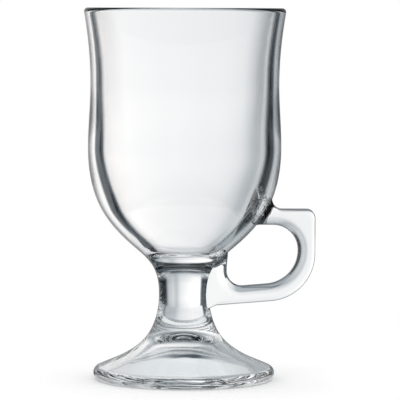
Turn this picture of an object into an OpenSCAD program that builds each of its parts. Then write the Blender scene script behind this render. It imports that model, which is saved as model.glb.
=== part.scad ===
// Footed glass mug for hot drinks: a thick bell-shaped bowl, a short solid stem, a
// domed foot and a flat-sided D handle. Four pieces of clear glass, fused face to face.
// Millimetres, +Z up. The origin is on the axis of the bowl, at the table, and the
// handle points along +X. A lean is in degrees out from upright, on the way up.

/* [Bowl] */
// Height of the bowl from its seat on the stem to the rim
bowl_h = 103; // [98:0.5:110]
// Outside diameter at the rim
rim_d = 80.2; // [77:0.2:88]
// Lean of the wall at the rim
rim_lean = 10; // [2:0.5:16]
// Outside diameter at the waist
waist_d = 75; // [72:0.5:78]
// Height of the waist above the seat
waist_h = 73; // [66:0.5:80]
// Outside diameter at the belly
belly_d = 76.9; // [74:0.1:82]
// Height of the belly above the seat
belly_h = 47.5; // [42:0.5:54]
// Outside diameter halfway down the cup
cup_d = 68.2; // [64:0.2:71]
// Height above the seat at which the cup has that diameter
cup_h = 25.1; // [22:0.1:29]
// Lean of the wall there
cup_lean = 25; // [18:0.5:32]
// Outside diameter where the round of the cup turns into the hollow of the stem
turn_d = 43; // [38:0.5:48]
// Height of that turn above the seat
turn_h = 9.3; // [7:0.1:12]
// Lean of the wall at that turn
turn_lean = 48.5; // [42:0.5:55]
// Thickness of the wall at the rim
rim_wall = 3.1; // [2:0.1:4]
// Thickness of the wall at the waist
waist_wall = 3.7; // [2.8:0.1:5]
// Thickness of the wall at the belly
belly_wall = 5.2; // [3.8:0.1:7]
// Thickness of the wall halfway down the cup, measured level
cup_wall = 6.7; // [5:0.1:8.5]
// Lean of the inside of the cup there
inside_lean = 28; // [22:0.5:34]
// Thickness of the glass between the seat and the inside of the bowl
floor_t = 5.2; // [3.5:0.1:8]

/* [Stem] */
// Height of the stem from the foot to the seat of the bowl
stem_h = 26; // [24:0.5:30]
// Diameter of the stem at its neck
neck_d = 20; // [17:0.2:23]
// Height of the neck above the foot
neck_h = 14.8; // [12:0.1:17]
// Diameter of the seat between the stem and the bowl
seat_d = 24.8; // [22.5:0.1:27]
// Lean of the stem at that seat
seat_lean = 30; // [20:0.5:40]

/* [Foot] */
// Height of the foot from the table to the stem
foot_h = 19; // [17.5:0.1:22]
// Diameter of the foot
foot_d = 72.2; // [66:0.2:80]
// Radius of the foot's round edge
foot_edge_r = 2.8; // [2:0.1:3.2]
// Diameter of the seat between the foot and the stem
ankle_d = 27.4; // [24.5:0.1:30]
// Lean of the foot at that seat
ankle_lean = -30; // [-40:0.5:-20]
// Diameter at which the foot spreads out
spread_d = 39.8; // [36:0.2:44]
// Height of the foot at that diameter
spread_h = 12.5; // [11.5:0.1:14]
// Slope of the foot at that diameter, in degrees from level
spread_slope = 36; // [30:0.5:42]
// Slope of the foot at its edge, in degrees from level
edge_slope = 23; // [18:0.5:27]
// Width of the flat ring that the foot stands on
ring_w = 0.8; // [0.5:0.1:2.5]
// Depth of the bell-shaped hollow under the foot
hollow_h = 17; // [14:0.5:17.5]
// Diameter of the hollow at its shoulder
shoulder_d = 26; // [22:0.5:27]
// Height of that shoulder above the table
shoulder_h = 12; // [10:0.1:12.5]
// Slope of the hollow at its shoulder, in degrees from level
shoulder_slope = 45; // [38:0.5:52]
// Slope of the hollow where it meets the standing ring, in degrees from level
hollow_slope = 24; // [18:0.5:30]

/* [Handle] */
// Reach of the handle from the axis of the bowl
handle_reach = 52.1; // [48:0.1:58]
// Height of the flat top of the handle above the seat of the bowl
handle_top_h = 23.2; // [20:0.1:27]
// Height of the handle at its outer side, from the sharp lower corner to the top
handle_h = 35.1; // [32:0.1:38]
// Thickness of the handle, front to back
handle_t = 9.5; // [7:0.1:13]
// Depth of the top bar, which carries the thumb
top_bar_w = 6.35; // [5.6:0.05:8]
// Depth of the outer bar and of the lower bar
bar_w = 6.9; // [5.6:0.1:8]
// Fall of the lower bar towards the stem, in degrees
bar_fall = 4.7; // [1:0.1:8]
// Distance from the axis to the near side of the finger gap
web_reach = 17; // [15:0.1:20]
// Radius of the outer corner beside the thumb
thumb_r = 3.4; // [1.5:0.1:6]
// Radius of the outer curve under the fingers
outer_r = 19; // [14:0.1:22]
// Radius of the upper corner of the finger gap
gap_top_r = 9.8; // [6:0.1:11]
// Radius of the lower corner of the finger gap
gap_low_r = 13.4; // [8:0.1:16]
// Radius of the finger gap beside the web
gap_web_r = 5.8; // [3:0.1:7]
// Radius of the hollow curve above the top bar, where it springs from the bowl
root_top_r = 3.6; // [2:0.1:5]
// Radius of the hollow curve under the top bar
root_low_r = 6; // [3:0.1:8]
// Reach of the fillet beside the roots, measured level
root_fillet = 2.4; // [1:0.1:3.5]
// Radius of the rounded edges of the handle
handle_edge_r = 0.9; // [0.5:0.1:1.4]

/* [Hidden] */

glass_tint = [0.86, 0.92, 0.93, 0.55];
round_steps = 144;
curve_steps = 8;
corner_steps = 6;
edge_steps = 3;

ankle_z = foot_h;
seat_z = ankle_z + stem_h;
rim_z = seat_z + bowl_h;
top_z = seat_z + handle_top_h;
corner_z = top_z - handle_h;

// Draft of the finger gap's wall, and the crown of the handle's sides beside it
draft = 0.35;
crown_w = 2.6;
crown_drop = 0.95;
crown_slope = atan(crown_drop / (crown_w - draft));
crown_run = norm([crown_w - draft, crown_drop]) - handle_edge_r;
crown_r = crown_run / tan(crown_slope / 2);
// How far the handle's roots start above the top bar and inside the glass
root_rise = 7.8;
root_sink = 2.9;
root_spring = 3.1;
// Where the roots end inside the stem and the cup
core_r = 4;
root_toe = 2.6;
root_toe_r = 2;
web_lean = 5.5;
web_top_h = 12;
// Longest stretch between two sections of the handle, and strips across their flat
section_step = 3;
strips = 4;

function heading(a) = [cos(a), sin(a)];
function mix(a, b, share) = a + (b - a) * share;

// A smooth curve through stations of [radius, height, direction of travel]
function hermite(a, b, t) =
    let (p = [a.x, a.y], q = [b.x, b.y], pull = norm(q - p))
    p * (2 * t ^ 3 - 3 * t ^ 2 + 1) + heading(a.z) * pull * (t ^ 3 - 2 * t ^ 2 + t)
    + q * (3 * t ^ 2 - 2 * t ^ 3) + heading(b.z) * pull * (t ^ 3 - t ^ 2);
function curve(stations) = [
    for (i = [0 : len(stations) - 2], k = [(i == 0 ? 0 : 1) : curve_steps])
        hermite(stations[i], stations[i + 1], k / curve_steps)
];
function arc(centre, radii, from, to, steps) = [
    for (k = [0 : steps])
        let (a = mix(from, to, k / steps))
        centre + [radii.x * cos(a), radii.y * sin(a)]
];
function tail(points) = [for (i = [1 : len(points) - 1]) points[i]];
function trimmed(points) = [for (i = [0 : len(points) - 2]) points[i]];

// Corners of [x, y, radius] rounded to arcs; the first and the last are plain ends
function flat(c) = [c.x, c.y];
function turned(p, q, r, radius, steps) =
    let (
        into = (p - q) / norm(p - q),
        away = (r - q) / norm(r - q),
        half = acos(into * away) / 2,
        centre = q + (into + away) / norm(into + away) * radius / sin(half),
        start = q + into * radius / tan(half) - centre,
        side = sign(away.x * into.y - away.y * into.x),
        first = atan2(start.y, start.x)
    )
    arc(centre, [radius, radius], first, first + side * (180 - 2 * half), steps);
function rounded(corners, steps) =
    let (last = len(corners) - 1)
    [
        flat(corners[0]),
        for (i = [1 : last - 1])
            each turned(
                flat(corners[i - 1]), flat(corners[i]), flat(corners[i + 1]),
                corners[i].z, steps
            ),
        flat(corners[last])
    ];

// Outside of the stem and of the bowl, on the way up
stem_outside = curve([
    [ankle_d / 2, ankle_z, 90 - ankle_lean],
    [neck_d / 2, ankle_z + neck_h, 90],
    [seat_d / 2, seat_z, 90 - seat_lean]
]);
rim_centre = [(rim_d - rim_wall) / 2, rim_z - rim_wall / 2];
rim_round = arc(rim_centre, [rim_wall, rim_wall] / 2, -rim_lean, 180 - rim_lean, 2 * curve_steps);
bowl_outside = curve([
    [seat_d / 2, seat_z, 90 - seat_lean],
    [turn_d / 2, seat_z + turn_h, 90 - turn_lean],
    [cup_d / 2, seat_z + cup_h, 90 - cup_lean],
    [belly_d / 2, seat_z + belly_h, 90],
    [waist_d / 2, seat_z + waist_h, 90],
    [rim_round[0].x, rim_round[0].y, 90 - rim_lean]
]);

// Inside of the bowl, on the way down to the middle of its floor
inside_top = rim_round[len(rim_round) - 1];
bowl_inside = curve([
    [inside_top.x, inside_top.y, 270 - rim_lean],
    [waist_d / 2 - waist_wall, seat_z + waist_h, 270],
    [belly_d / 2 - belly_wall, seat_z + belly_h, 270],
    [cup_d / 2 - cup_wall, seat_z + cup_h, 270 - inside_lean],
    [0, seat_z + floor_t, 180]
]);

// Outside of the foot from its standing ring up to the stem, and the hollow under it
edge_centre = [foot_d / 2 - foot_edge_r, foot_edge_r];
foot_edge = arc(edge_centre, [foot_edge_r, foot_edge_r], -90, 90 - edge_slope, curve_steps);
edge_top = foot_edge[len(foot_edge) - 1];
foot_outside = concat(
    trimmed(foot_edge),
    curve([
        [edge_top.x, edge_top.y, 180 - edge_slope],
        [spread_d / 2, spread_h, 180 - spread_slope],
        [ankle_d / 2, ankle_z, 90 - ankle_lean]
    ])
);
hollow = curve([
    [0, hollow_h, 0],
    [shoulder_d / 2, shoulder_h, -shoulder_slope],
    [edge_centre.x - ring_w, 0, -hollow_slope]
]);

// Level distance of a point from the axis to the skin of the stem and the bowl
skin = [for (p = concat(stem_outside, tail(bowl_outside))) [p.y, p.x]];
function skin_r(z) = lookup(z, skin);

// Outline of the handle and of its finger gap, from the upper root round to the web.
// The two have corners in pairs, and each section of the handle runs between them.
root_z = top_z + root_rise;
gap_top_z = top_z - top_bar_w;
gap_x = handle_reach - bar_w;
function fallen(x, z, from) = z - (from - x) * tan(bar_fall);
toe_x = neck_d / 2 + root_toe;
toe_z = fallen(toe_x, corner_z, handle_reach);
gap_corner_z = fallen(gap_x, corner_z, handle_reach) + bar_w / cos(bar_fall);
web_z = fallen(web_reach, gap_corner_z, gap_x);
web_top_z = seat_z + web_top_h;
outline_corners = [
    [skin_r(root_z) - root_sink, root_z, 0],
    [skin_r(top_z) + root_spring, top_z, root_top_r],
    [handle_reach, top_z, thumb_r],
    [handle_reach, corner_z, outer_r],
    [toe_x, toe_z, root_toe_r],
    [core_r, toe_z - (toe_x - core_r) / 2, 0]
];
gap_corners = [
    [skin_r(gap_top_z) - 2 * root_spring, gap_top_z - root_spring, 0],
    [skin_r(gap_top_z), gap_top_z, root_low_r],
    [gap_x, gap_top_z, gap_top_r],
    [gap_x, gap_corner_z, gap_low_r],
    [web_reach, web_z, gap_web_r],
    [web_reach, seat_z, 0]
];
web_end = [
    [core_r, web_top_z],
    [web_reach + (web_top_z - seat_z) * tan(web_lean), web_top_z]
];
outline_points = rounded(outline_corners, corner_steps);
gap_points = rounded(gap_corners, corner_steps);
section_ends = [for (i = [0 : len(gap_points) - 1]) [gap_points[i], outline_points[i]]];
all_ends = concat(section_ends, [[web_end[1], web_end[0]]]);
sections = [
    for (i = [0 : len(all_ends) - 2])
        let (
            a = all_ends[i],
            b = all_ends[i + 1],
            gap = max(norm(b[0] - a[0]), norm(b[1] - a[1])),
            parts = ceil(gap / section_step)
        )
        for (k = [0 : parts - 1]) mix(a, b, k / parts),
    all_ends[len(all_ends) - 1]
];

// Half of a section, from the finger gap outwards: [distance from the gap, half thickness]
function half_section(width) =
    let (
        half = handle_t / 2,
        by_gap = trimmed(rounded([
            [0, 0, 0],
            [draft, half - crown_drop, handle_edge_r],
            [crown_w, half, crown_r],
            [width, half, 0]
        ], edge_steps)),
        outside = tail(rounded([
            [crown_w, half, 0],
            [width, half, handle_edge_r],
            [width, 0, 0]
        ], edge_steps)),
        from = by_gap[len(by_gap) - 1]
    )
    concat(by_gap, [for (k = [1 : strips - 1]) mix(from, outside[0], k / strips)], outside);

// The fillet thickens the handle where it comes close to the skin of the cup
function fillet(x, y, z) =
    let (
        far = min(1, max(0, norm([x, y]) - skin_r(z)) / root_fillet),
        share = min(1, max(0, z - seat_z) / root_spring)
    )
    root_fillet * share * (1 - far) ^ 2;
function ring(ends) =
    let (
        along = ends[1] - ends[0],
        width = norm(along),
        half = half_section(width),
        last = len(half) - 1,
        side = [for (p = half) concat(ends[0] + along * p.x / width, p.y)],
        thick = [for (p = side) p.z + fillet(p.x, p.z, p.y) * p.z / (handle_t / 2)]
    )
    concat(
        [for (i = [0 : last]) [side[i].x, thick[i], side[i].y]],
        [for (i = [last - 1 : -1 : 1]) [side[i].x, -thick[i], side[i].y]]
    );

module handle_sweep() {
    rings = [for (s = sections) ring(s)];
    n = len(rings[0]);
    m = len(rings);
    polyhedron(
        points = [for (r = rings) each r],
        faces = concat(
            [[for (j = [0 : n - 1]) j]],
            [
                for (i = [0 : m - 2], j = [0 : n - 1])
                    let (
                        a = i * n + j,
                        b = i * n + (j + 1) % n
                    )
                    each [[a, a + n, b], [b, a + n, b + n]]
            ],
            [[for (j = [n - 1 : -1 : 0]) (m - 1) * n + j]]
        )
    );
}

// The stem and the cup without its hollow, which the handle seats against
module core() {
    rotate_extrude($fn = round_steps)
        polygon(concat([[0, ankle_z]], stem_outside, tail(bowl_outside), [[0, rim_centre.y]]));
}

module bowl() {
    color(glass_tint)
        rotate_extrude($fn = round_steps)
            polygon(concat(
                [[0, seat_z]],
                trimmed(bowl_outside),
                rim_round,
                tail(bowl_inside)
            ));
}

module stem() {
    color(glass_tint)
        rotate_extrude($fn = round_steps)
            polygon(concat([[0, ankle_z]], stem_outside, [[0, seat_z]]));
}

module foot() {
    color(glass_tint)
        rotate_extrude($fn = round_steps)
            polygon(concat(hollow, foot_outside, [[0, ankle_z]]));
}

module handle() {
    color(glass_tint)
        difference() {
            handle_sweep();
            core();
        }
}

bowl();
stem();
foot();
handle();
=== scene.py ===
# Footed mug of clear pressed glass: a bell bowl, a short solid stem, a domed foot and a D handle.
# Sizes are in millimetres and degrees here, and the meshes are made in metres.
import math
import bpy
import bmesh
import numpy as np
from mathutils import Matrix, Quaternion, Vector


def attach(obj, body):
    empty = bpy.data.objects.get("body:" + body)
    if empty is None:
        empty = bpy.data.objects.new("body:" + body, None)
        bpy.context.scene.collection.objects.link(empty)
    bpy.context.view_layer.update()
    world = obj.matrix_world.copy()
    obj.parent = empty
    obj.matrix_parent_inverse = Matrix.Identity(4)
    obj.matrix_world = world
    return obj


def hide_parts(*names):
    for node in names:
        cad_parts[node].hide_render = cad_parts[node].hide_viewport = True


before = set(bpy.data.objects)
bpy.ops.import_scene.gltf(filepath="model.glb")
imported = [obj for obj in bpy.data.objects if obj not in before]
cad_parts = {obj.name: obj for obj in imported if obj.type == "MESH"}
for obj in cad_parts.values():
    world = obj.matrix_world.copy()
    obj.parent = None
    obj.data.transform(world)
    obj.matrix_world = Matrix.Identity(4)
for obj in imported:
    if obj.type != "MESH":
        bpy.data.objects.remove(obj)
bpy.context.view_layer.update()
print("frame loaded:", ", ".join(sorted(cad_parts)))

mm = 0.001
tiny = 1e-6                     # in millimetres: what is less counts as nothing
spunWeld = 1e-8                 # in metres: points this near become one in a turned piece
seatWeld = 2e-7                 # and where the handle's seat joins one


# Curves that every profile is drawn with
def heading(degrees):
    return Vector((math.cos(math.radians(degrees)), math.sin(math.radians(degrees))))


def smoothCurve(stations, steps):
    # stations are (radius, height, direction of travel)
    points = []
    for first, second in zip(stations, stations[1:]):
        p, q = Vector(first[:2]), Vector(second[:2])
        pull = (q - p).length
        leave, arrive = heading(first[2]) * pull, heading(second[2]) * pull
        for k in range(1 if points else 0, steps + 1):
            t = k / steps
            points.append(p * (2*t**3 - 3*t**2 + 1) + leave * (t**3 - 2*t**2 + t)
                          + q * (3*t**2 - 2*t**3) + arrive * (t**3 - t**2))
    return points


def arcPoints(centre, radii, start, end, steps):
    turn = [math.radians(start + (end - start) * k / steps) for k in range(steps + 1)]
    return [Vector((centre[0] + radii[0] * math.cos(a), centre[1] + radii[1] * math.sin(a)))
            for a in turn]


def roundedLine(corners, steps):
    # corners are (x, y, radius); the first and the last stay as plain ends
    flat = [Vector(c[:2]) for c in corners]
    points = [flat[0]]
    for i in range(1, len(corners) - 1):
        into = (flat[i - 1] - flat[i]).normalized()
        away = (flat[i + 1] - flat[i]).normalized()
        half = math.acos(max(-1, min(1, into.dot(away)))) / 2
        radius = corners[i][2]
        centre = flat[i] + (into + away).normalized() * radius / math.sin(half)
        start = flat[i] + into * radius / math.tan(half) - centre
        side = math.copysign(1, away.x * into.y - away.y * into.x)
        first = math.degrees(math.atan2(start.y, start.x))
        points += arcPoints(centre, (radius, radius), first,
                            first + side * (180 - 2 * math.degrees(half)), steps)
    return points + [flat[-1]]


# Profiles of the turned pieces: a lean is in degrees from upright, a slope from level
mugLevels = {"ankle": 19, "seat": 45, "rim": 148}
stemSizes = {"neckWidth": 20, "neckHeight": 14.8, "ankleWidth": 27.4, "ankleLean": -30,
             "seatWidth": 24.8, "seatLean": 30, "rows": 30}
bowlSizes = {"rimWidth": 80.2, "rimLean": 10, "waistWidth": 75, "waistHeight": 73,
             "bellyWidth": 76.9, "bellyHeight": 47.5, "cupWidth": 68.2, "cupHeight": 25.1,
             "cupLean": 25, "turnWidth": 43, "turnHeight": 9.3, "turnLean": 48.5,
             "rimWall": 3.1, "waistWall": 3.7, "bellyWall": 5.2, "cupWall": 6.7,
             "insideLean": 28,
             # inside, the wall turns at its knee into a floor that is nearly flat
             "kneeWidth": 29, "kneeHeight": 10.3, "kneeSlope": 39,
             "flatWidth": 20, "flatHeight": 7.4, "flatSlope": 14, "floorThickness": 6.6,
             "rows": 20}
footSizes = {"width": 72.2, "edgeRound": 2.8, "spreadWidth": 39.8, "spreadHeight": 12.5,
             "spreadSlope": 36, "edgeSlope": 23, "ringWidth": 0.8, "hollowDepth": 18,
             "shoulderWidth": 26, "shoulderHeight": 12, "shoulderSlope": 45,
             "hollowSlope": 24, "lipRound": 0.6, "rows": 24, "lipRows": 6}


def stemOutside():
    s, z = stemSizes, mugLevels
    return smoothCurve([
        (s["ankleWidth"] / 2, z["ankle"], 90 - s["ankleLean"]),
        (s["neckWidth"] / 2, z["ankle"] + s["neckHeight"], 90),
        (s["seatWidth"] / 2, z["seat"], 90 - s["seatLean"])], s["rows"])


def rimRound():
    b, z = bowlSizes, mugLevels
    half = b["rimWall"] / 2
    return arcPoints(((b["rimWidth"] - b["rimWall"]) / 2, z["rim"] - half), (half, half),
                     -b["rimLean"], 180 - b["rimLean"], b["rows"])


def bowlOutside():
    b, z = bowlSizes, mugLevels["seat"]
    rimStart = rimRound()[0]
    return smoothCurve([
        (stemSizes["seatWidth"] / 2, z, 90 - stemSizes["seatLean"]),
        (b["turnWidth"] / 2, z + b["turnHeight"], 90 - b["turnLean"]),
        (b["cupWidth"] / 2, z + b["cupHeight"], 90 - b["cupLean"]),
        (b["bellyWidth"] / 2, z + b["bellyHeight"], 90),
        (b["waistWidth"] / 2, z + b["waistHeight"], 90),
        (rimStart.x, rimStart.y, 90 - b["rimLean"])], b["rows"])


def bowlInside():
    b, z = bowlSizes, mugLevels["seat"]
    rimEnd = rimRound()[-1]
    return smoothCurve([
        (rimEnd.x, rimEnd.y, 270 - b["rimLean"]),
        (b["waistWidth"] / 2 - b["waistWall"], z + b["waistHeight"], 270),
        (b["bellyWidth"] / 2 - b["bellyWall"], z + b["bellyHeight"], 270),
        (b["cupWidth"] / 2 - b["cupWall"], z + b["cupHeight"], 270 - b["insideLean"]),
        (b["kneeWidth"] / 2, z + b["kneeHeight"], 180 + b["kneeSlope"]),
        (b["flatWidth"] / 2, z + b["flatHeight"], 180 + b["flatSlope"]),
        (0, z + b["floorThickness"], 180)], b["rows"])


def footProfile():
    # from the middle of the hollow underneath, round the edge and up to the stem
    f = footSizes
    ring = f["width"] / 2 - f["edgeRound"]
    lip = ring - f["ringWidth"]
    hollow = smoothCurve([
        (0, f["hollowDepth"], 0),
        (f["shoulderWidth"] / 2, f["shoulderHeight"], -f["shoulderSlope"]),
        (lip, 0, -f["hollowSlope"])], f["rows"])
    hollow = [p for p in hollow if p.x < lip - f["lipRound"]]
    rounding = smoothCurve([(hollow[-1].x, hollow[-1].y, -f["hollowSlope"]),
                            (lip + f["ringWidth"] / 2, 0, 0)], f["lipRows"])
    edge = arcPoints((ring, f["edgeRound"]), (f["edgeRound"], f["edgeRound"]),
                     -90, 90 - f["edgeSlope"], f["rows"])
    top = smoothCurve([
        (edge[-1].x, edge[-1].y, 180 - f["edgeSlope"]),
        (f["spreadWidth"] / 2, f["spreadHeight"], 180 - f["spreadSlope"]),
        (stemSizes["ankleWidth"] / 2, mugLevels["ankle"], 90 - stemSizes["ankleLean"])],
        f["rows"])
    return hollow + rounding[1:] + edge + top[1:]


# Facets round the axis, in degrees: finer beside the handle, which points along +X
facetSizes = {"fine": 0.75, "fineReach": 18, "plain": 1.8}


def facetAngles():
    f = facetSizes
    fineCount = round(f["fineReach"] / f["fine"])
    plainCount = round((360 - 2 * f["fineReach"]) / f["plain"])
    fine = [k * f["fine"] for k in range(-fineCount, fineCount + 1)]
    rest = [f["fineReach"] + k * f["plain"] for k in range(1, plainCount)]
    return [math.radians(a) for a in fine + rest]


turnAngles = facetAngles()


def spin(mesh, profile, slotIndex=0):
    # adds the surface that a profile sweeps round the axis; ends on the axis become one point
    rings = []
    for p in profile:
        if p.x < tiny:
            rings.append([mesh.verts.new((0, 0, p.y * mm))])
        else:
            rings.append([mesh.verts.new((p.x * math.cos(a) * mm, p.x * math.sin(a) * mm,
                                          p.y * mm)) for a in turnAngles])
    count = len(turnAngles)
    for low, high in zip(rings, rings[1:]):
        for j in range(count):
            n = (j + 1) % count
            corners = [low[j % len(low)], low[n % len(low)], high[n % len(high)],
                       high[j % len(high)]]
            corners = [v for i, v in enumerate(corners) if v not in corners[:i]]
            mesh.faces.new(corners).material_index = slotIndex
    return rings


def asObject(name, mesh, materials):
    data = bpy.data.meshes.new(name)
    mesh.to_mesh(data)
    mesh.free()
    for m in materials:
        data.materials.append(m)
    made = bpy.data.objects.new(name, data)
    bpy.context.scene.collection.objects.link(made)
    return made


def profileNormals(profile):
    spots = np.array([(p.x, p.y) for p in profile])
    along = np.gradient(spots, axis=0)
    along /= np.linalg.norm(along, axis=1)[:, None]
    return spots, np.stack([along[:, 1], -along[:, 0]], axis=1)


def shadeTurned(piece, profile):
    # every point takes the normal of the profile beside it, so the glass bends light evenly
    spots, normals = profileNormals(profile)
    count = len(piece.data.vertices)
    places = np.empty(count * 3)
    piece.data.vertices.foreach_get("co", places)
    places = places.reshape(-1, 3) / mm
    radius = np.hypot(places[:, 0], places[:, 1])
    flat = np.stack([radius, places[:, 2]], axis=1)
    start, span = spots[:-1], spots[1:] - spots[:-1]
    result = np.empty((count, 2))
    batch = 4000                # points at a time, which saves memory
    for i in range(0, count, batch):
        chunk = flat[i:i + batch, None, :]
        share = np.clip(((chunk - start) * span).sum(2) / (span**2).sum(1), 0, 1)
        gap = np.linalg.norm(start + span * share[..., None] - chunk, axis=2)
        best = gap.argmin(1)
        t = share[np.arange(len(best)), best][:, None]
        result[i:i + batch] = normals[best] * (1 - t) + normals[best + 1] * t
    safe = np.maximum(radius, tiny)
    full = np.stack([result[:, 0] * places[:, 0] / safe, result[:, 0] * places[:, 1] / safe,
                     result[:, 1]], axis=1)
    full /= np.linalg.norm(full, axis=1)[:, None]
    piece.data.shade_smooth()
    piece.data.normals_split_custom_set_from_vertices(full.tolist())


# Finishes
glassLook = {"tint": (0.994, 0.996, 0.998, 1), "ior": 1.52, "roughness": 0.0,
             "turned": (0.12, 0.13, 0.14, 1),   # painted shade: a dark line where the glass turns away from the eye
             # nicks along the seam of the mould, which lies in the plane of the handle
             "nickLength": 1.5, "nickShare": (0.54, 0.7), "seamReach": (5, 8)}


def newMaterial(name):
    made = bpy.data.materials.new(name)
    made.use_nodes = True
    made.node_tree.nodes.clear()
    return made, made.node_tree.nodes, made.node_tree.links


def addNode(nodes, kind, **settings):
    made = nodes.new(kind)
    for key, value in settings.items():
        setattr(made, key, value)
    return made


def spread(nodes, links, source, low, high):
    # 0 at the low value and 1 at the high one
    made = nodes.new("ShaderNodeMapRange")
    made.inputs["From Min"].default_value = low
    made.inputs["From Max"].default_value = high
    links.new(source, made.inputs["Value"])
    return made.outputs["Result"]


def buildRipple():
    # the faint waves that a press mould leaves in glass, and the nicks along its seam
    group = bpy.data.node_groups.new("pressedRipple", "ShaderNodeTree")
    for name in ("Waves", "Fineness", "Nicks"):
        group.interface.new_socket(name, in_out="INPUT", socket_type="NodeSocketFloat")
    group.interface.new_socket("Height", in_out="OUTPUT", socket_type="NodeSocketFloat")
    nodes, links = group.nodes, group.links
    start, end = nodes.new("NodeGroupInput"), nodes.new("NodeGroupOutput")
    place = nodes.new("ShaderNodeTexCoord")
    waves = nodes.new("ShaderNodeTexNoise")
    links.new(place.outputs["Object"], waves.inputs["Vector"])
    links.new(start.outputs["Waves"], waves.inputs["Scale"])
    links.new(start.outputs["Fineness"], waves.inputs["Detail"])
    nicks = nodes.new("ShaderNodeTexNoise")
    nicks.inputs["Scale"].default_value = 1 / (glassLook["nickLength"] * mm)
    nicks.inputs["Detail"].default_value = 1
    links.new(place.outputs["Object"], nicks.inputs["Vector"])
    parts = nodes.new("ShaderNodeSeparateXYZ")
    links.new(place.outputs["Object"], parts.inputs["Vector"])
    offSeam = addNode(nodes, "ShaderNodeMath", operation="ABSOLUTE")
    links.new(parts.outputs["Y"], offSeam.inputs[0])
    near, far = glassLook["seamReach"]
    height = start.outputs["Nicks"]
    for share in (spread(nodes, links, nicks.outputs["Fac"], *glassLook["nickShare"]),
                  spread(nodes, links, offSeam.outputs["Value"], far * mm, near * mm)):
        times = addNode(nodes, "ShaderNodeMath", operation="MULTIPLY")
        links.new(height, times.inputs[0])
        links.new(share, times.inputs[1])
        height = times.outputs["Value"]
    total = addNode(nodes, "ShaderNodeMath", operation="ADD")
    links.new(waves.outputs["Fac"], total.inputs[0])
    links.new(height, total.inputs[1])
    links.new(total.outputs["Value"], end.inputs["Height"])
    return group


pressedRipple = buildRipple()


def pressedGlass(name, look):
    made, nodes, links = newMaterial(name)
    out = nodes.new("ShaderNodeOutputMaterial")
    shader = nodes.new("ShaderNodeBsdfPrincipled")
    # painted shade: the base colour turns dark where the glass turns away from the eye
    facing = nodes.new("ShaderNodeLayerWeight")
    turned = nodes.new("ShaderNodeValToRGB")
    for element, place, tint in zip(turned.color_ramp.elements, look["turn"],
                                    ("tint", "turned")):
        element.position, element.color = place, glassLook[tint]
    ripple = nodes.new("ShaderNodeGroup")
    ripple.node_tree = pressedRipple
    ripple.inputs["Waves"].default_value = 1 / (look["waveLength"] * mm)
    ripple.inputs["Fineness"].default_value = look["fineness"]
    ripple.inputs["Nicks"].default_value = look["nicks"]
    bump = nodes.new("ShaderNodeBump")
    bump.inputs["Strength"].default_value = 1
    bump.inputs["Distance"].default_value = look["waveHeight"] * mm
    links.new(ripple.outputs["Height"], bump.inputs["Height"])
    links.new(bump.outputs["Normal"], shader.inputs["Normal"])
    links.new(facing.outputs["Facing"], turned.inputs["Fac"])
    links.new(turned.outputs["Color"], shader.inputs["Base Color"])
    shader.inputs["Roughness"].default_value = glassLook["roughness"]
    shader.inputs["IOR"].default_value = glassLook["ior"]
    shader.inputs["Transmission Weight"].default_value = 1
    links.new(shader.outputs["BSDF"], out.inputs["Surface"])
    return made


def fusedSeat(name):
    # where two pieces are fused there is no surface for light to meet
    made, nodes, links = newMaterial(name)
    out = nodes.new("ShaderNodeOutputMaterial")
    shader = nodes.new("ShaderNodeBsdfPrincipled")
    shader.inputs["Alpha"].default_value = 0
    links.new(shader.outputs["BSDF"], out.inputs["Surface"])
    return made


# Waves are in millimetres. Nicks are so many times as high, and 0 leaves them out. Turn is
# where the painted shade, a thin dark line at an edge, starts and where it is full.
bowlLook = {"waveLength": 22, "waveHeight": 0.04, "fineness": 0, "nicks": 0,
            "turn": (0.68, 0.8)}
stemLook = {"waveLength": 9, "waveHeight": 0.05, "fineness": 1, "nicks": 2,
            "turn": (0.68, 0.8)}
footLook = {"waveLength": 9, "waveHeight": 0.12, "fineness": 1, "nicks": 0,
            "turn": (0.82, 0.94)}
handleLook = {"waveLength": 14, "waveHeight": 0.04, "fineness": 0, "nicks": 0,
              "turn": (0.3, 0.5)}
bowlFinish = pressedGlass("bowlGlass", bowlLook)
stemFinish = pressedGlass("stemGlass", stemLook)
footFinish = pressedGlass("footGlass", footLook)
handleFinish = pressedGlass("handleGlass", handleLook)
seatGlass = fusedSeat("fusedSeat")
capMark = bpy.data.materials.new("capMark")
print("finishes made")

# The handle: a flat-sided bar in sections that run from the finger gap to the outline
handleSizes = {
    "reach": 52.1, "topHeight": 23.2, "height": 35.1, "thickness": 9.5,
    "topBar": 6.35, "bar": 6.9, "barFall": 4.7, "webReach": 17,
    "thumbRound": 3.4, "outerRound": 19, "gapTopRound": 9.8, "gapLowRound": 13.4,
    "gapWebRound": 5.8, "rootTopRound": 3.6, "rootLowRound": 6, "rootFillet": 2.4,
    "edgeRound": 0.9, "outerEdgeRound": 1.4, "draft": 0.35, "crownWidth": 4.4,
    "crownDrop": 1.9, "crownSlope": 42,
    "rootRise": 7.8, "rootSink": 2.9, "rootSpring": 3.1, "core": 4, "toe": 2.6,
    "toeRound": 2, "buriedRound": 0.1, "webLean": 5.5, "webTop": 12,
    "sectionStep": 0.5, "hair": 1e-5,
    "cornerSteps": 16, "edgeSteps": 8, "crownSteps": 12, "flatSteps": 4,
}
skinLine = [(p.y, p.x) for p in stemOutside() + bowlOutside()[1:]]


def skinRadius(z):
    return float(np.interp(z, [s[0] for s in skinLine], [s[1] for s in skinLine]))


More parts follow.
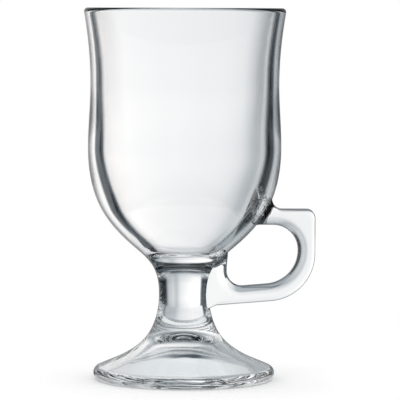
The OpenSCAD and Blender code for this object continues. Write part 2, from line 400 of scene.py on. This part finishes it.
def handleEnds():
    h, seat = handleSizes, mugLevels["seat"]
    top = seat + h["topHeight"]
    root, gapTop, corner = top + h["rootRise"], top - h["topBar"], top - h["height"]
    gapX = h["reach"] - h["bar"]
    fall = math.tan(math.radians(h["barFall"]))
    toeX = stemSizes["neckWidth"] / 2 + h["toe"]
    toeZ = corner - (h["reach"] - toeX) * fall
    gapCorner = (corner - (h["reach"] - gapX) * fall
                 + h["bar"] / math.cos(math.radians(h["barFall"])))
    webZ = gapCorner - (gapX - h["webReach"]) * fall
    webTop = seat + h["webTop"]
    lean = math.tan(math.radians(h["webLean"]))
    outline = roundedLine([
        (h["core"], root, 0),
        (skinRadius(root) - h["rootSink"], root, h["buriedRound"]),
        (skinRadius(top) + h["rootSpring"], top, h["rootTopRound"]),
        (h["reach"], top, h["thumbRound"]),
        (h["reach"], corner, h["outerRound"]),
        (toeX, toeZ, h["toeRound"]),
        (h["core"], toeZ - (toeX - h["core"]) / 2, h["buriedRound"]),
        (h["core"], root, 0)], h["cornerSteps"])
    gap = roundedLine([
        (skinRadius(gapTop) - 2 * h["rootSpring"], gapTop - h["rootSpring"], 0),
        (skinRadius(gapTop), gapTop, h["rootLowRound"]),
        (gapX, gapTop, h["gapTopRound"]),
        (gapX, gapCorner, h["gapLowRound"]),
        (h["webReach"], webZ, h["gapWebRound"]),
        (h["webReach"], seat, h["gapWebRound"]),
        (h["webReach"] + (webTop - seat) * lean, webTop, 0)], h["cornerSteps"])
    return finelyCut(gap, h["sectionStep"]), finelyCut(outline, h["sectionStep"])


def finelyCut(line, step):
    points = []
    for a, b in zip(line, line[1:]):
        parts = math.ceil((b - a).length / step)
        points += [a.lerp(b, k / parts) for k in range(parts)]
    return points + [line[-1]]


def squareTo(line):
    # the direction square to a line at each of its points, on its left
    spots = np.array([tuple(p) for p in line])
    along = np.gradient(spots, axis=0)
    along /= np.linalg.norm(along, axis=1)[:, None]
    return np.stack([-along[:, 1], along[:, 0]], axis=1)


def handleSections():
    # from each place on the finger gap straight out to the outline, and back from each
    # place on the outline, so that both lines keep their own shape
    gap, outline = handleEnds()
    out = np.array([tuple(p) for p in outline])
    steps = np.linalg.norm(np.diff(out, axis=0), axis=1)
    run = np.concatenate([[0], np.cumsum(steps)])
    aims = squareTo(gap)
    met = []
    for start, aim in zip(gap, aims):
        side = (out[:, 0] - start.x) * aim[1] - (out[:, 1] - start.y) * aim[0]
        ahead = (out[:, 0] - start.x) * aim[0] + (out[:, 1] - start.y) * aim[1]
        cross = np.nonzero((side[:-1] * side[1:] <= 0) & (ahead[:-1] > 0))[0]
        first = cross[np.argmin(ahead[cross])]
        share = side[first] / (side[first] - side[first + 1])
        met.append(run[first] + share * steps[first])
    # places that meet the outline together are set apart by a hair, to stay in order
    met = np.maximum.accumulate(np.array(met) + np.arange(len(met)) * handleSizes["hair"])
    order = np.arange(len(gap))
    extra = np.interp(run[(run > met[0]) & (run < met[-1])], met, order)
    places = np.unique(np.round(np.concatenate([order, extra]), 3))
    spots = np.array([tuple(p) for p in gap])

    def between(table):
        return np.stack([np.interp(places, order, table[:, k]) for k in (0, 1)], axis=1)

    reached = np.interp(places, order, met)
    outer = np.stack([np.interp(reached, run, out[:, k]) for k in (0, 1)], axis=1)
    return [(Vector(a), Vector(n), Vector(b))
            for a, n, b in zip(between(spots), between(aims), outer)]


def halfSection(width):
    # one side of the bar, from its edge at the finger gap over the crown to its outer edge
    h = handleSizes
    half = h["thickness"] / 2
    edge = Vector((h["draft"], half - h["crownDrop"]))
    slope = Vector((math.cos(math.radians(h["crownSlope"])),
                    math.sin(math.radians(h["crownSlope"]))))
    byGap = roundedLine([(0, 0, 0), (*edge, h["edgeRound"]), (*(edge + slope), 0)],
                        h["edgeSteps"])[:-1]
    crown = smoothCurve([(*byGap[-1], h["crownSlope"]), (h["crownWidth"], half, 0)],
                        h["crownSteps"])
    outside = roundedLine([(h["crownWidth"], half, 0), (width, half, h["outerEdgeRound"]),
                           (width, 0, 0)], h["edgeSteps"])[1:]
    parts = h["flatSteps"]
    flat = [crown[-1].lerp(outside[0], k / parts) for k in range(1, parts)]
    return byGap + crown[1:] + flat + outside


def filletAt(x, y, z):
    # how much thicker the bar is beside the bowl, where it springs from it
    h = handleSizes
    far = min(1, max(0, math.hypot(x, y) - skinRadius(z)) / h["rootFillet"])
    share = min(1, max(0, z - mugLevels["seat"]) / h["rootSpring"])
    return h["rootFillet"] * share * (1 - far)**2


def handleBar(mesh):
    rings = []
    crown = handleSizes["crownWidth"]
    for inner, aim, outer in handleSections():
        knee = inner + aim * crown
        flat = (outer - knee).length
        half = halfSection(crown + flat)
        side = [(inner.lerp(knee, min(1, p.x / crown))
                 + (outer - knee) * max(0, p.x - crown) / flat, p.y) for p in half]
        thick = [y + filletAt(p.x, y, p.y) * y / (handleSizes["thickness"] / 2)
                 for p, y in side]
        near = [(p.x, t, p.y) for (p, y), t in zip(side, thick)]
        far = [(p.x, -t, p.y) for (p, y), t in zip(side, thick)][-2:0:-1]
        rings.append([mesh.verts.new(Vector(c) * mm) for c in near + far])
    count = len(rings[0])
    for a, b in zip(rings, rings[1:]):
        for j in range(count):
            n = (j + 1) % count
            mesh.faces.new((a[j], b[j], b[n], a[n]))
    mesh.faces.new(rings[0])
    mesh.faces.new(rings[-1][::-1])


def carved(first, second, how):
    # the exact boolean keeps each face's own finish
    cut = first.modifiers.new("cut", "BOOLEAN")
    cut.object, cut.operation, cut.solver = second, how, "EXACT"
    cut.material_mode = "TRANSFER"
    ready = first.evaluated_get(bpy.context.evaluated_depsgraph_get())
    data = bpy.data.meshes.new_from_object(ready)
    first.modifiers.remove(cut)
    return data


joinHeight = mugLevels["seat"] + bowlSizes["bellyHeight"]   # above the handle's roots
lowerBowl = [p for p in bowlOutside() if p.y <= joinHeight + tiny]
upperBowl = [p for p in bowlOutside() if p.y >= joinHeight - tiny]

coreMesh = bmesh.new()
spin(coreMesh, stemOutside() + lowerBowl[1:])
for level, radius in ((mugLevels["ankle"], stemOutside()[0].x), (joinHeight, lowerBowl[-1].x)):
    ends = [Vector((0, level)), Vector((radius, level))]
    spin(coreMesh, ends if level == mugLevels["ankle"] else ends[::-1], 1)
bmesh.ops.remove_doubles(coreMesh, verts=coreMesh.verts, dist=spunWeld)
coreSolid = asObject("coreSolid", coreMesh, [bowlFinish, capMark])
for polygon in coreSolid.data.polygons:
    polygon.use_smooth = True

barMesh = bmesh.new()
handleBar(barMesh)
bmesh.ops.recalc_face_normals(barMesh, faces=barMesh.faces)
barSolid = asObject("barSolid", barMesh, [seatGlass])
skinData = carved(coreSolid, barSolid, "DIFFERENCE")
for i in range(len(coreSolid.data.materials)):
    coreSolid.data.materials[i] = seatGlass
barSolid.data.materials[0] = handleFinish
handleData = carved(barSolid, coreSolid, "DIFFERENCE")
print("handle cut to its seat:", len(handleData.polygons), "faces")


def addFaces(mesh, data, wanted, slotIndex, flip=False):
    # copies the faces of a mesh that the test accepts
    seen = {}
    for polygon in data.polygons:
        if not wanted(polygon):
            continue
        corners = []
        for i in polygon.vertices:
            if i not in seen:
                seen[i] = mesh.verts.new(data.vertices[i].co)
            corners.append(seen[i])
        mesh.faces.new(corners[::-1] if flip else corners).material_index = slotIndex


def finishOf(data, polygon):
    return data.materials[polygon.material_index].name if data.materials else ""


seatLevel = mugLevels["seat"] * mm


def turnedWithSeat(name, above, finish):
    # a turned piece with the patch that the handle is fused to
    mesh = bmesh.new()
    side = 1 if above else -1
    addFaces(mesh, skinData, lambda p: finishOf(skinData, p) == "bowlGlass"
             and side * (p.center.z - seatLevel) > 0, 0)
    addFaces(mesh, handleData, lambda p: finishOf(handleData, p) == "fusedSeat"
             and side * (p.center.z - seatLevel) > 0, 1, True)
    seatRing = stemOutside()[-1]
    disc = [Vector((0, seatRing.y)), seatRing]
    spin(mesh, disc if above else disc[::-1], 1)
    if above:
        spin(mesh, upperBowl + rimRound()[1:] + bowlInside()[1:])
    else:
        spin(mesh, [Vector((0, stemOutside()[0].y)), stemOutside()[0]], 1)
    bmesh.ops.remove_doubles(mesh, verts=mesh.verts, dist=seatWeld)
    loose = [e for e in mesh.edges if not e.is_manifold]
    print(name, "faces:", len(mesh.faces), "open edges:", len(loose))
    return asObject(name, mesh, [finish, seatGlass])


bowlPiece = turnedWithSeat("bowlGlass", True, bowlFinish)
shadeTurned(bowlPiece, lowerBowl + upperBowl[1:] + rimRound()[1:] + bowlInside()[1:])
stemPiece = turnedWithSeat("stemGlass", False, stemFinish)
shadeTurned(stemPiece, stemOutside())

footMesh = bmesh.new()
spin(footMesh, footProfile())
spin(footMesh, [footProfile()[-1], Vector((0, mugLevels["ankle"]))], 1)
bmesh.ops.remove_doubles(footMesh, verts=footMesh.verts, dist=spunWeld)
footPiece = asObject("footGlass", footMesh, [footFinish, seatGlass])
shadeTurned(footPiece, footProfile())

handleMesh = bmesh.new()
addFaces(handleMesh, handleData, lambda p: finishOf(handleData, p) != "fusedSeat", 0)
addFaces(handleMesh, handleData, lambda p: finishOf(handleData, p) == "fusedSeat", 1)
bmesh.ops.remove_doubles(handleMesh, verts=handleMesh.verts, dist=seatWeld)
print("handleGlass faces:", len(handleMesh.faces), "open edges:",
      len([e for e in handleMesh.edges if not e.is_manifold]))
handlePiece = asObject("handleGlass", handleMesh, [handleFinish, seatGlass])
handlePiece.data.shade_smooth()
edgeMesh = bmesh.new()                  # only the line round each seat stays sharp
edgeMesh.from_mesh(handlePiece.data)
for edge in edgeMesh.edges:
    finishes = {f.material_index for f in edge.link_faces}
    edge.smooth = len(finishes) == 1
edgeMesh.to_mesh(handlePiece.data)
edgeMesh.free()

for spare in (coreSolid, barSolid):
    bpy.data.objects.remove(spare)
for piece, node in ((bowlPiece, "bowl"), (stemPiece, "stem"), (footPiece, "foot"),
                    (handlePiece, "handle")):
    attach(piece, "root")
    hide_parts(node)
print("pieces made")

# The studio: a white backdrop that fades to one side, between two dark screens in a pale room.
# Rays from the glass show it, and the camera sees plain white.
studioLook = {
    # brightness by the azimuth of a ray, in degrees from +Y towards +X
    "round": [(-180, 0.82), (-87, 0.82), (-76, 0.06), (-48, 0.03), (-44, 0.08), (-35.5, 0.05),
              (-31.5, 0.28), (-29, 1.15), (-26, 1.25), (-14, 1.2), (-10, 1.1), (-6, 1.02),
              (-2, 0.97), (3, 0.9), (6, 0.82), (8.5, 0.7), (11, 0.57), (14, 0.59),
              (18, 0.69), (22, 0.6), (26, 0.56), (30, 0.38), (32.5, 0.12), (35, 0.03),
              (38, 0.01), (74, 0.02), (87, 0.82), (180, 0.82)],
    # the same past the ends of the screens, far above and far below the horizon
    "beyond": [(-180, 0.9), (-100, 0.9), (-80, 0.2), (-50, 0.25), (-36, 0.9), (-24, 1.0),
               (-6, 1.0), (6, 0.85), (14, 0.62), (22, 0.65), (32, 0.85), (42, 0.35),
               (54, 0.22), (70, 0.25), (90, 0.9), (180, 0.9)],
    # by elevation: how much the first of the two counts, and how bright both are there
    "screens": [(-90, 0), (-45, 0), (-30, 1), (14, 1), (28, 0), (90, 0)],
    "tall": [(-90, 0.2), (-62, 0.22), (-41, 0.5), (-26, 0.74), (-14, 0.97), (-8, 1.04),
             (-3.5, 1.0), (4, 1.0), (9, 0.86), (21, 0.74), (30, 0.62), (37, 0.42),
             (41, 0.36), (46, 0.4), (52, 0.42), (57, 0.15), (66, 0.05), (90, 0.2)],
    "cool": (1.11, 1.0, 0.93),          # powers that turn the greys a little blue
    "mirrored": 0.4,                    # how much of it the outside of the glass mirrors
    "bounces": 32,                      # walls that light passes on its way through the mug
    "mirrorBounces": 12,
}


def brightnessRamp(nodes, stops, reach):
    node = nodes.new("ShaderNodeValToRGB")
    elements = node.color_ramp.elements     # it starts with one at each end
    for i, (angle, level) in enumerate(stops):
        inner = 0 < i < len(stops) - 1
        element = elements.new((angle + reach) / (2 * reach)) if inner else elements[-(i > 0)]
        element.color = [level**power for power in studioLook["cool"]] + [1]
    return node


def aroundAxis(nodes, links, vector, stops):
    # the azimuth ramp, read by where a place or a ray lies round the upright axis
    parts = nodes.new("ShaderNodeSeparateXYZ")
    turn = addNode(nodes, "ShaderNodeMath", operation="ARCTAN2")
    links.new(vector, parts.inputs["Vector"])
    links.new(parts.outputs["X"], turn.inputs[0])
    links.new(parts.outputs["Y"], turn.inputs[1])
    ramp = brightnessRamp(nodes, stops, 180)
    links.new(spread(nodes, links, turn.outputs["Value"], -math.pi, math.pi),
              ramp.inputs["Fac"])
    return parts, ramp


def glassRays(nodes, links, paths):
    # 1 for the rays that the glass mirrors or lets through
    either = addNode(nodes, "ShaderNodeMath", operation="MAXIMUM")
    links.new(paths.outputs["Is Glossy Ray"], either.inputs[0])
    links.new(paths.outputs["Is Transmission Ray"], either.inputs[1])
    return either.outputs["Value"]


# The table that the mug stands on; reaches are millimetres from the axis
tableLook = {"radius": 100, "paint": (1, 1, 1, 1), "lift": 0.12,
             # the table within the shade reach, as the glass shows it, is painted grey-blue shade
             # under the foot
             "paintedShadeUnderFoot": (0.84, 0.88, 0.89, 1), "shadeReach": (20, 24), "openReach": (31, 36),
             # brightness of the painted shadow inside the foot's rim, which is deepest at the
             # back
             "paintedShadowUnderRim": [(-180, 0.85), (-40, 0.85), (-24, 0.6), (-10, 0.22), (0, 0.08),
                          (12, 0.08), (20, 0.3), (35, 0.7), (60, 0.85), (180, 0.85)],
             # brightness round the mug, as the glass shows it: painted shade, dark at both sides
             # where the studio's dark screens stand
             "round": [(-180, 0.9), (-87, 0.9), (-76, 0.05), (-33, 0.05), (-30, 0.95),
                       (-10, 0.95), (-2, 0.87), (3, 0.8), (6, 0.73), (8.5, 0.62), (11, 0.52),
                       (14, 0.5), (22, 0.48), (27, 0.46), (29.5, 0.4), (32, 0.2),
                       (34, 0.18), (38, 0.4), (74, 0.4), (87, 0.9), (180, 0.9)]}


def paleTable():
    made, nodes, links = newMaterial("paleTable")
    out = nodes.new("ShaderNodeOutputMaterial")
    paint = nodes.new("ShaderNodeBsdfDiffuse")
    paint.inputs["Color"].default_value = tableLook["paint"]
    lift = nodes.new("ShaderNodeEmission")      # keeps the far edge as white as the backdrop
    place = nodes.new("ShaderNodeTexCoord")
    away = addNode(nodes, "ShaderNodeVectorMath", operation="LENGTH")
    links.new(place.outputs["Object"], away.inputs[0])
    # what the glass shows of the table, under the foot and round it: painted shade and shadow
    # that glows as emission
    under = addNode(nodes, "ShaderNodeMix", data_type="RGBA")
    seen = addNode(nodes, "ShaderNodeMix", data_type="RGBA")
    under.inputs["A"].default_value = tableLook["paintedShadeUnderFoot"]
    for mix, stops, reach in ((under, "paintedShadowUnderRim", "shadeReach"), (seen, "round", "openReach")):
        ramp = aroundAxis(nodes, links, place.outputs["Object"], tableLook[stops])[1]
        near, far = tableLook[reach]
        links.new(spread(nodes, links, away.outputs["Value"], near * mm, far * mm),
                  mix.inputs["Factor"])
        links.new(ramp.outputs["Color"], mix.inputs["B"])
    links.new(under.outputs["Result"], seen.inputs["A"])
    # the painted shade glows here, and only rays from the glass see it
    paintedShadeGlow = nodes.new("ShaderNodeEmission")
    links.new(seen.outputs["Result"], paintedShadeGlow.inputs["Color"])
    paths = nodes.new("ShaderNodeLightPath")
    amount = addNode(nodes, "ShaderNodeMath", operation="MULTIPLY")
    amount.inputs[1].default_value = tableLook["lift"]
    both = nodes.new("ShaderNodeAddShader")
    choose = nodes.new("ShaderNodeMixShader")
    links.new(paths.outputs["Is Camera Ray"], amount.inputs[0])
    links.new(amount.outputs["Value"], lift.inputs["Strength"])
    links.new(paint.outputs["BSDF"], both.inputs[0])
    links.new(lift.outputs["Emission"], both.inputs[1])
    links.new(glassRays(nodes, links, paths), choose.inputs["Fac"])
    links.new(both.outputs["Shader"], choose.inputs[1])
    links.new(paintedShadeGlow.outputs["Emission"], choose.inputs[2])
    links.new(choose.outputs["Shader"], out.inputs["Surface"])
    return made


tableMesh = bmesh.new()
spin(tableMesh, [Vector((0, 0)), Vector((tableLook["radius"], 0))])
floor = asObject("paleTable", tableMesh, [paleTable()])


def buildStudio():
    world = bpy.data.worlds.new("studio")
    bpy.context.scene.world = world
    world.use_nodes = True
    nodes, links = world.node_tree.nodes, world.node_tree.links
    nodes.clear()

    out = nodes.new("ShaderNodeOutputWorld")
    background = nodes.new("ShaderNodeBackground")
    direction = nodes.new("ShaderNodeTexCoord")
    rise = addNode(nodes, "ShaderNodeMath", operation="ARCSINE")
    parts, roundRamp = aroundAxis(nodes, links, direction.outputs["Generated"],
                                  studioLook["round"])
    beyondRamp = aroundAxis(nodes, links, direction.outputs["Generated"],
                            studioLook["beyond"])[1]
    links.new(parts.outputs["Z"], rise.inputs[0])
    upward = spread(nodes, links, rise.outputs["Value"], -math.pi / 2, math.pi / 2)
    tallRamp = brightnessRamp(nodes, studioLook["tall"], 90)
    screenRamp = brightnessRamp(nodes, studioLook["screens"], 90)
    links.new(upward, tallRamp.inputs["Fac"])
    links.new(upward, screenRamp.inputs["Fac"])
    around = addNode(nodes, "ShaderNodeMix", data_type="RGBA")
    links.new(beyondRamp.outputs["Color"], around.inputs["A"])
    links.new(screenRamp.outputs["Color"], around.inputs["Factor"])
    links.new(roundRamp.outputs["Color"], around.inputs["B"])
    both = addNode(nodes, "ShaderNodeMix", data_type="RGBA", blend_type="MULTIPLY")
    both.inputs["Factor"].default_value = 1
    links.new(around.outputs["Result"], both.inputs["A"])
    links.new(tallRamp.outputs["Color"], both.inputs["B"])
    paths = nodes.new("ShaderNodeLightPath")
    mirrored = addNode(nodes, "ShaderNodeMix", data_type="RGBA")
    mirrored.inputs["A"].default_value = [studioLook["mirrored"]] * 3 + [1]
    mirrored.inputs["B"].default_value = (1, 1, 1, 1)
    links.new(paths.outputs["Is Transmission Ray"], mirrored.inputs["Factor"])
    dimmed = addNode(nodes, "ShaderNodeMix", data_type="RGBA", blend_type="MULTIPLY")
    dimmed.inputs["Factor"].default_value = 1
    links.new(both.outputs["Result"], dimmed.inputs["A"])
    links.new(mirrored.outputs["Result"], dimmed.inputs["B"])
    choose = addNode(nodes, "ShaderNodeMix", data_type="RGBA")
    choose.inputs["A"].default_value = (1, 1, 1, 1)
    links.new(glassRays(nodes, links, paths), choose.inputs["Factor"])
    links.new(dimmed.outputs["Result"], choose.inputs["B"])
    links.new(choose.outputs["Result"], background.inputs["Color"])
    links.new(background.outputs["Background"], out.inputs["Surface"])


buildStudio()
light = bpy.context.scene.cycles
light.max_bounces = studioLook["bounces"]
light.transmission_bounces = studioLook["bounces"]
light.transparent_max_bounces = studioLook["bounces"]
light.glossy_bounces = studioLook["mirrorBounces"]

# The camera, in metres and degrees: a long lens, level with the rim, looking a little down
cameraLook = {"distance": 1.12, "height": 0.148, "side": 0.0062, "pitch": 3.9, "roll": 0.25,
              "lens": 253.6}


def placeCamera():
    c = cameraLook
    data = bpy.data.cameras.new("camera")
    data.lens = c["lens"]
    made = bpy.data.objects.new("camera", data)
    bpy.context.scene.collection.objects.link(made)
    turn = Quaternion((1, 0, 0), math.radians(90 - c["pitch"]))
    made.rotation_mode = "QUATERNION"
    made.rotation_quaternion = turn @ Quaternion((0, 0, 1), math.radians(c["roll"]))
    made.location = (c["side"], -c["distance"], c["height"])
    bpy.context.scene.camera = made


placeCamera()
bpy.context.scene.view_settings.view_transform = "Standard"
print("studio and camera ready")
